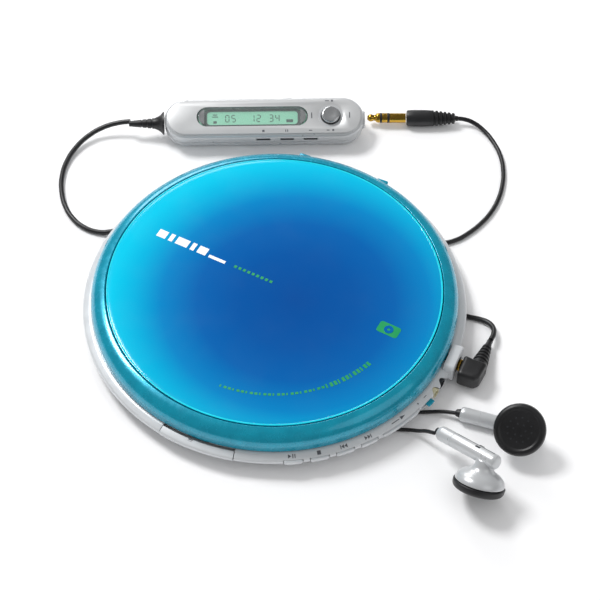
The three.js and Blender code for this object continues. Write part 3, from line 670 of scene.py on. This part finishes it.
def crown_z(r):
    table = [(0, 15.7), (18, 15.63), (38, 15.38), (47, 15.2), (54.5, 15.0), (56, 14.9)]
    for (r0, z0), (r1, z1) in zip(table, table[1:]):
        if r <= r1:
            return z0 + (z1 - z0) * (r - r0) / (r1 - r0)
    return 14.9


def decal(name, polygons, mat, body, height, lift=0.05, thick=0.03):
    """Thin printed shapes laid on a surface of that height(x, y) in mm."""
    shapes = prisms(name, polygons, lambda x, y: height(x, y) + lift - thick,
                    lambda x, y: height(x, y) + lift, mat)
    return settle(shapes, body)


def turned_about(points, deg, x=0.0, y=0.0):
    c, s = math.cos(deg * DEG), math.sin(deg * DEG)
    return [(x + px * c - py * s, y + px * s + py * c) for px, py in points]


def arc_bar(r0, r1, a0, a1, x=0.0, y=0.0, n=8):
    def pt(r, k):
        a = (a0 + (a1 - a0) * k / n) * DEG
        return x + r * math.cos(a), y + r * math.sin(a)
    return [[pt(r0, k), pt(r1, k), pt(r1, k + 1), pt(r0, k + 1)] for k in range(n)]


def lid_marks():
    """Plain stand-ins for the printing on the lid: bars, a badge and a row of dashes."""
    def up(x, y):
        return crown_z(math.hypot(x, y))
    turn = LAYOUT_TURN / DEG - 28
    c, s = math.cos(LAYOUT_TURN), math.sin(LAYOUT_TURN)

    def at(x, y):
        return x * c - y * s, x * s + y * c
    ox, oy = at(-40.8, 21.6)
    bars = []
    widths = (3.4, 1.5, 4.6, 1.5, 3.4, 6.4)
    for i, w in enumerate(widths):
        x0, h = sum(widths[:i]) + 1.2 * i, 3.2 if i < 5 else 1.2
        bars.append(turned_about([(x0, 0), (x0 + w, 0), (x0 + w, h), (x0, h)], turn, ox, oy))
    decal("lid_bars", bars, "ink_white", "lid", up)
    ox, oy = at(-14.0, 7.6)
    rows = [turned_about([(x, 0), (x + 1.0, 0), (x + 1.0, 1.1), (x, 1.1)], turn, ox, oy)
            for x in (i * 1.7 for i in range(9))]
    decal("lid_row", rows, "ink_green", "lid", up)
    bx, by = at(38.0, -18.0)
    badge = [turned_about(outline(7.6, 4.6, 1.0), turn, bx, by)]
    decal("lid_badge", badge, "ink_green", "lid", up)
    z = up(bx, by)
    settle(lathe("lid_badge_disc", [(0.5, z), (1.6, z), (1.6, z + 0.11), (0.5, z + 0.11)], "blue", 48,
                 matrix=shift(bx, by, 0)), "lid")
    dashes = []
    for i in range(36):
        a = -113 + i * 1.9 + LAYOUT_TURN / DEG
        inner, outer = (44.2, 45.1) if i < 24 else (43.8, 45.5)
        dashes += arc_bar(inner, outer, a, a + (1.3 if i % 3 else 0.7), n=1)
    decal("lid_arc_dashes", dashes, "ink_green", "lid", up)


lid_marks()


# ---- symbols on the shoulder ---------------------------------------------------------
def shoulder_marks():
    def up(x, y):
        r = math.hypot(x, y)
        return 7.45 - (r - 62.6) * 0.45 if r > 62.6 else 7.45

    def placed(shapes, deg, r=63.45):
        out = []
        for poly in shapes:
            out.append([((r + v) * math.cos((deg + u / r / DEG) * DEG),
                         (r + v) * math.sin((deg + u / r / DEG) * DEG)) for u, v in poly])
        return out

    def tri(x, flip=1, h=0.62, w=1.0):
        return [(x, -h), (x + flip * w, 0), (x, h)]

    def box(x0, x1, h=0.62):
        return [(x0, -h), (x1, -h), (x1, h), (x0, h)]
    play = [tri(-1.6), box(-0.2, 0.1), box(0.5, 0.8)]
    stop = [box(-0.62, 0.62)]
    back = [box(-1.3, -1.05), tri(0.0, -1), tri(1.1, -1)]
    ahead = [tri(-1.1), tri(0.0), box(1.05, 1.3)]
    eject = [[(-0.8, 0.0), (0.8, 0.0), (0, 0.7)], [(-0.8, -0.6), (0.8, -0.6), (0.8, -0.3), (-0.8, -0.3)]]
    shapes = placed(play, -61) + placed(stop, -53.3) + placed(back, -45.6) + placed(ahead, -37.9)
    shapes += placed([box(-1.6, 1.6, 0.12), [(2.2, -0.5), (4.2, 0), (2.2, 0.5)]], -28)
    shapes += placed(eject, -92)
    shapes += placed([outline(0.56, 0.56, 0.28, 3)], -18.6)
    shapes += placed([box(-0.7, 0.7, 0.1)], -15.2)
    decal("shoulder_symbols", shapes, "ink", "player", up)


shoulder_marks()


# ---- pins, plugs and sockets ---------------------------------------------------------
def lying(name, profile, mat, matrix, segs=64, ends=True):
    full = ([(0, profile[0][1])] if ends else []) + profile + ([(0, profile[-1][1])] if ends else [])
    return lathe(name, full, mat, segs, closed=not ends, matrix=matrix @ ALONG_X)


PLUG = TO_LAYOUT @ shift(32.4, 87.2, 3.05)
settle(lying("jack_contact", fillet([(0.7, 0.1), (1.3, 0.9), (1.35, 1.6), (1.0, 2.3), (1.05, 2.9), (1.7, 3.5),
                                     (1.75, 4.35), (1.75, 14.0)], 0.3, closed=False), "gold", PLUG),
       "player", "jack_pin", slot="gold")
for i, x in enumerate((4.6, 7.3)):
    band = [(1.77, x), (1.79, x + 0.1), (1.79, x + 0.75), (1.77, x + 0.85)]
    settle(lying(f"jack_band_{i}", band, "black", PLUG), "player")
grip = [(2.2, 14.3), (2.7, 14.45), (2.88, 14.9), (2.98, 17), (3, 19.5), (2.96, 22), (2.85, 24)]
for i in range(5):
    x, r = 24.4 + i * 1.5, 2.82 - i * 0.2
    grip += [(r - 0.42, x), (r - 0.42, x + 0.35), (r, x + 0.5), (r - 0.06, x + 1.2), (r - 0.4, x + 1.35)]
grip += [(1.45, 31.9), (0.95, 32.0), (0.92, 32.9)]
settle(lying("jack_handle", grip, "black", PLUG), "player", "jack_grip")

ELBOW = around(JACK_TURN)
elbow = [(67.4, -5.6), (73.5, -5.6), (74.9, -4.2), (75.6, 2.6), (69.6, 2.6), (67.4, 3.0)]


def prism(name, poly, levels, mat, matrix):
    """A plate with rounded corners: levels of (height, inset towards the middle)."""
    cx, cy = sum(p[0] for p in poly) / len(poly), sum(p[1] for p in poly) / len(poly)
    bm = bmesh.new()
    loops = []
    for z, inset in levels:
        k = 1 - inset / 4
        loops.append([bm.verts.new(((cx + (x - cx) * k) * MM, (cy + (y - cy) * k) * MM, z * MM))
                      for x, y in poly])
    n = len(poly)
    for low, high in zip(loops, loops[1:]):
        for i in range(n):
            bm.faces.new((low[i], low[(i + 1) % n], high[(i + 1) % n], high[i]))
    bm.faces.new(loops[0])
    bm.faces.new(loops[-1])
    bm.transform(matrix)
    return finish_mesh(name, bm, mat)


elbow_body = prism("elbow_body", fillet(elbow, 1.3, steps=5), soft_levels(1.8, 8.2, 0.9, 1.3), "black", ELBOW)
ARM = ELBOW @ shift(72.6, 0.8, 4.9) @ Matrix.Rotation(-10 * DEG, 4, "X") @ Matrix.Rotation(1.5 * DEG, 4, "Z")
TO_Y = Matrix.Rotation(-math.pi / 2, 4, "X")
arm = [(2.95, 0), (2.95, 1.2), (2.8, 2.6)]
for i in range(5):
    y, r = 3.0 + i * 1.75, 2.72 - i * 0.27
    arm += [(r - 0.4, y), (r - 0.4, y + 0.4), (r, y + 0.6), (r - 0.1, y + 1.45), (r - 0.4, y + 1.6)]
arm += [(1.2, 12.2), (1.0, 13.4), (1.0, 14.6)]
elbow_arm = lathe("elbow_relief", [(0, 0)] + arm + [(0, 14.6)], "black", 64, closed=False, matrix=ARM @ TO_Y)
settle(elbow_body, "player", "remote_plug_body")
settle(elbow_arm, "player")
BORE = around(JACK_TURN) @ shift(0, 0, JACK_Z)
settle(lying("elbow_contact", fillet([(1.2, 51.9), (1.7, 52.6), (1.7, 66.55), (2.15, 66.6), (2.15, 67.15),
                                      (1.7, 67.3)], 0.15, closed=False), "gold", BORE),
       "player", "remote_plug_pin", slot="gold")

# ---- remote --------------------------------------------------------------------------
REM = (TO_LAYOUT @ shift(-4.8, 83.2, 2.25) @ Matrix.Rotation(1.5 * DEG, 4, "Z")
       @ Matrix.Rotation(17 * DEG, 4, "X"))
WINDOW = (-4.3, 0.2)
KNOB = (23.8, 0.3)
SIDE_KEYS = (-0.4, 8.1, 16.5)


def window_cut():
    return stack("cutter", 40, 7.6, 3.79, [(6.2, 0), (20, 0)], "dark", REM, WINDOW, n=20)


def build_remote():
    top = stack("remote_upper", 71.6, 15.6, 7.79, soft_levels(3.95, 8.25, 0.15, 1.5), "silver", REM, n=24)
    cuts = [window_cut(), peg(3.6, 7.0, 20, REM @ shift(*KNOB, 0), 64),
            slab(6.4, 12.4, 6.2, 8.5, 5.25, 6.75, matrix=REM)]
    for x in SIDE_KEYS:
        cuts.append(slab(x - 2.6, x + 2.6, -8.5, -6.1, 5.3, 6.8, matrix=REM))
    settle(combine(top, cuts), "player", "remote_top_case", slot="silver_paint")
    levels = [(8.0, 0), (8.38, 0), (8.52, 0.1), (8.6, 0.35)]
    face = stack("remote_face", 69.3, 13.3, 6.64, levels, "face", REM, n=24)
    dish = lathe("cutter", [(0, 7.9), (3.7, 7.9), (4.3, 8.2), (5.2, 8.62), (5.2, 20), (0, 20)], "dark", 96,
                 closed=False, matrix=REM @ shift(*KNOB, 0))
    face = combine(face, [window_cut(), dish])
    settle(face, "player", slot="silver_paint")
    low = stack("remote_lower", 71.6, 15.6, 7.79, [(0, 2.0), (0.25, 1.1), (0.7, 0.45), (1.3, 0.1), (1.9, 0),
                                                   (3.4, 0), (3.6, 0.15)], "silver", REM, n=24)
    settle(low, "player", "remote_bottom_case", slot="silver_paint")
    settle(slab(35.2, 36.2, -2.6, 2.6, 2.9, 6.9, "silver", REM, "remote_end_cap", soft=0.4), "player")
    knob = [(0, 5.7), (0.95, 5.7), (0.95, 7.35), (3.0, 7.35), (3.2, 7.5), (3.2, 9.25), (3.05, 9.6),
            (2.7, 9.8), (1.8, 9.7), (0, 9.55)]
    knob_obj = lathe("jog_cap", fillet(knob, 0.2, closed=False), "bright", 96, closed=False,
                     matrix=REM @ shift(*KNOB, 0))
    settle(knob_obj, "jog", "remote_jog_knob", slot="silver_paint")
    settle(lathe("jog_shadow_ring", [(3.45, 7.0), (3.6, 7.0), (3.6, 8.1), (3.45, 8.1)], "dark", 64,
                 matrix=REM @ shift(*KNOB, 0)), "player")
    for i, x in enumerate(SIDE_KEYS, 1):
        settle(slab(x - 2.35, x + 2.35, -8.0, -6.6, 5.5, 6.6, "black", REM, f"side_key_{i}", soft=0.3),
               f"remote_key_{i}", f"remote_button_{i}")
    settle(slab(6.8, 10.0, 6.6, 8.4, 5.5, 6.5, "silver", REM, "remote_hold_nub", soft=0.3),
           "remote_hold", "remote_hold_switch", slot="silver_paint")
    pane = stack("display_pane", 39.3, 6.95, 3.4, soft_levels(7.3, 8.5, 0.1, 0.35), "glass", REM,
                 WINDOW, n=20)
    settle(pane, "player", "remote_window", slot="clear_glass")
    frame_ring = stack("display_frame", 37.6, 6.7, 3.3, [(7.05, 0), (7.25, 0)], "dark", REM, WINDOW, n=20)
    hole = stack("cutter", 32.6, 5.3, 1.3, [(6, 0), (9, 0)], "dark", REM, WINDOW)
    settle(combine(frame_ring, [hole]), "player")
    boot = [(4.2, -36.1), (4.1, -36.5), (3.2, -37.2), (2.5, -38.2), (1.95, -39.5), (1.9, -40.3), (1.6, -40.4),
            (1.6, -40.8), (1.8, -40.9), (1.7, -42.0), (1.45, -42.1), (1.45, -42.5), (1.6, -42.6),
            (1.5, -43.8),
            (1.25, -43.9), (1.25, -44.3), (1.4, -44.4), (1.25, -46.0), (1.05, -47.8), (1.0, -48.7)]
    settle(lying("remote_relief", boot, "black", REM @ shift(0, 0, 4.0)), "player", "remote_boot")

    def bar(x, y, w, h):
        x0, x1, y0, y1 = x - w / 2, x + w / 2, y - h / 2, y + h / 2
        return [(x0, y0), (x1, y0), (x1, y1), (x0, y1)]

    def printed(name, polys, mat, z):
        settle(prisms(name, polys, level(z - 0.03), level(z + 0.03), mat, REM), "player")
    marks = [bar(17.0, 0.3, 0.35, 2.2), bar(30.6, 0.3, 0.35, 2.2), bar(22.6, 6.0, 1.4, 0.3),
             bar(24.4, 6.0, 0.7, 0.7),
             bar(22.8, -5.6, 1.0, 0.3), bar(24.6, -5.6, 0.7, 0.7), bar(-0.4, -5.6, 0.8, 0.8),
             bar(7.6, -5.6, 0.3, 0.9), bar(8.3, -5.6, 0.3, 0.9), bar(16.5, -5.6, 1.2, 0.3)]
    printed("remote_marks", marks, "ink", 8.62)
    printed("pane_crescents", [turned_about([(3.05 * math.cos(k * 10 * DEG), 3.05 * math.sin(k * 10 * DEG))
                                             for k in range(-7, 8)], a, WINDOW[0] + s * 16.2, WINDOW[1])
                               for s, a in ((1, 0), (-1, 180))], "bright", 8.48)
    segments = {"a": (0, 1.3, 0.9, 0.26), "g": (0, 0, 0.9, 0.26), "d": (0, -1.3, 0.9, 0.26),
                "f": (-0.62, 0.66, 0.26, 1.0), "b": (0.62, 0.66, 0.26, 1.0),
                "e": (-0.62, -0.66, 0.26, 1.0), "c": (0.62, -0.66, 0.26, 1.0)}
    digits = {"0": "abcdef", "1": "bc", "2": "abged", "3": "abgcd", "4": "fgbc", "5": "afgcd"}
    polys = []
    for i, ch in enumerate("05  12 34"):
        for seg in digits.get(ch, ""):
            dx, dy, w, h = segments[seg]
            polys.append(bar(WINDOW[0] - 9.0 + i * 2.25 + dx, WINDOW[1] - 0.1 + dy, w, h))
    polys += [bar(WINDOW[0] - 13.4, 1.6, 1.6, 0.3), bar(WINDOW[0] - 13.4, 0.8, 2.2, 0.3),
              bar(WINDOW[0] + 13.4, -1.0, 2.4, 1.1), bar(WINDOW[0] - 13.4, -1.3, 1.2, 0.9)]
    printed("display_figures", polys, "lcd_mark", 7.06)


build_remote()


# ---- earbuds -------------------------------------------------------------------------
def bud_matrix(origin, stem, face):
    x = Vector(stem).normalized()
    z = Vector(face)
    z = (z - x * z.dot(x)).normalized()
    y = z.cross(x)
    m = Matrix((x, y, z)).transposed().to_4x4()
    return TO_LAYOUT @ shift(*origin) @ m


def build_bud(side, m):
    cup = [(0, 0.5), (3, 0.5), (3.15, 3.1), (4.05, 4.3), (5.2, 4.95), (6.4, 5.6), (7.3, 6.35), (7.9, 7.2),
           (8.2, 8.0), (8.2, 8.45), (0, 8.45)]
    housing = lathe(side + "_bud_cup", fillet(cup, 0.7, closed=False), "silver", 128, closed=False, matrix=m)
    settle(housing, "player", side + "_earbud_housing", slot="silver_paint")
    stem = [(1.3, -21), (2.1, -20.8), (2.45, -20.2), (2.5, -19.2), (2.5, -14.4), (2.42, -14.3), (2.42, -14.0),
            (2.5, -13.9), (2.5, 3.6), (2.35, 4.3), (1.9, 4.8), (1.2, 5.0)]
    settle(lying(side + "_bud_stem", stem, "silver", m), "player")
    settle(slab(-13.5, 3.0, -0.12, 0.12, -2.53, -2.46, "dark", m, side + "_bud_seam"), "player")
    settle(slab(-4.6, -2.6, -1.35, 1.35, -2.42, -2.0, "dark", m, side + "_bud_slit", soft=0.15), "player")
    face = [(0, 8.7), (8.35, 8.7), (8.62, 8.95), (8.62, 9.35), (8.5, 10.4), (8.15, 11.0), (7.5, 11.35),
            (6.9, 11.35), (6.5, 11.1), (6.2, 10.95), (3.5, 10.85), (0, 10.9)]
    settle(lathe(side + "_bud_face", fillet(face, 0.35, closed=False), "black", 128, closed=False, matrix=m),
           "player", side + "_earbud_cover")
    holes = []
    for ring, count in ((2.0, 6), (4.0, 12)):
        for k in range(count):
            a = 2 * math.pi * k / count
            holes.append(turned_about([(0.32 * math.cos(j * 60 * DEG), 0.32 * math.sin(j * 60 * DEG))
                                       for j in range(6)], 0, ring * math.cos(a), ring * math.sin(a)))
    settle(prisms(side + "_bud_ports", holes, level(10.82), level(10.95), "dark", m), "player")
    settle(lying(side + "_bud_tail", [(0.75, -22.6), (1.15, -22.3), (1.5, -21.0)], "black", m), "player")


build_bud("left", bud_matrix((68.2, -68.2, 14.7), (0.665, -0.675, 0.32), (-0.41, -0.36, -0.84)))
build_bud("right", bud_matrix((81.6, -49.0, 2.65), (0.955, -0.294, 0), (0, -0.61, 0.79)))


# ---- CAD pieces that stay as they are ------------------------------------------------
SLOT_LOOK = {"white_shell": "white", "blue_panel": "blue", "teal_metal": "teal", "liner_grey": "grey",
             "deck_dark": "deck", "board_green": "board", "steel": "steel", "clear_glass": "glass",
             "cell_blue": "cell", "foot_rubber": "rubber", "jack_cream": "cream", "black_plastic": "black",
             "silver_paint": "silver", "lcd_green": "lcd", "gold": "gold", "cord_black": "cord"}
OWN_LOOK = {"hold_switch": "teal", "dc_jack": "cream", "line_out_jack": "dark", "phones_jack": "dark",
            "remote_display": "lcd", "objective_lens": "glass", "remote_clip": "silver"}


def dress_nodes():
    for name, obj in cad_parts.items():
        slots = obj.data.materials
        if not slots:
            continue
        look = OWN_LOOK.get(name) or SLOT_LOOK.get(slots[0].name.split(".")[0])
        if look:
            slots[0] = MAT[look]


dress_nodes()


# ---- floor and lights ----------------------------------------------------------------
def set_studio():
    scene.view_settings.view_transform = "Standard"
    bm = bmesh.new()
    bmesh.ops.create_grid(bm, x_segments=8, y_segments=8, size=3.0)
    floor = finish_mesh("floor", bm, "white")
    s = Shade("pale_floor", (246, 246, 247), 0.6)
    s.vary_rough(40, 0.55, 0.65)
    floor.data.materials[0] = s.mat
    world = bpy.data.worlds.new("studio")
    world.use_nodes = True
    world.node_tree.nodes["Background"].inputs["Color"].default_value = (1, 1, 1, 1)
    tree = world.node_tree
    path = tree.nodes.new("ShaderNodeLightPath")
    dim = tree.nodes.new("ShaderNodeMapRange")
    dim.inputs["To Min"].default_value = ROOM_LIGHT
    dim.inputs["To Max"].default_value = ROOM_IN_GLOSS
    tree.links.new(path.outputs["Is Glossy Ray"], dim.inputs["Value"])
    tree.links.new(dim.outputs["Result"], tree.nodes["Background"].inputs["Strength"])
    scene.world = world
    for name, spot, size, power in LAMPS:
        data = bpy.data.lights.new(name, "AREA")
        data.shape = "DISK"
        data.size = size
        data.energy = power
        lamp = bpy.data.objects.new(name, data)
        at = TO_LAYOUT @ Vector(spot)
        lamp.matrix_world = Matrix.Translation(at) @ (at.to_track_quat("Z", "Y").to_matrix().to_4x4())
        scene.collection.objects.link(lamp)


set_studio()
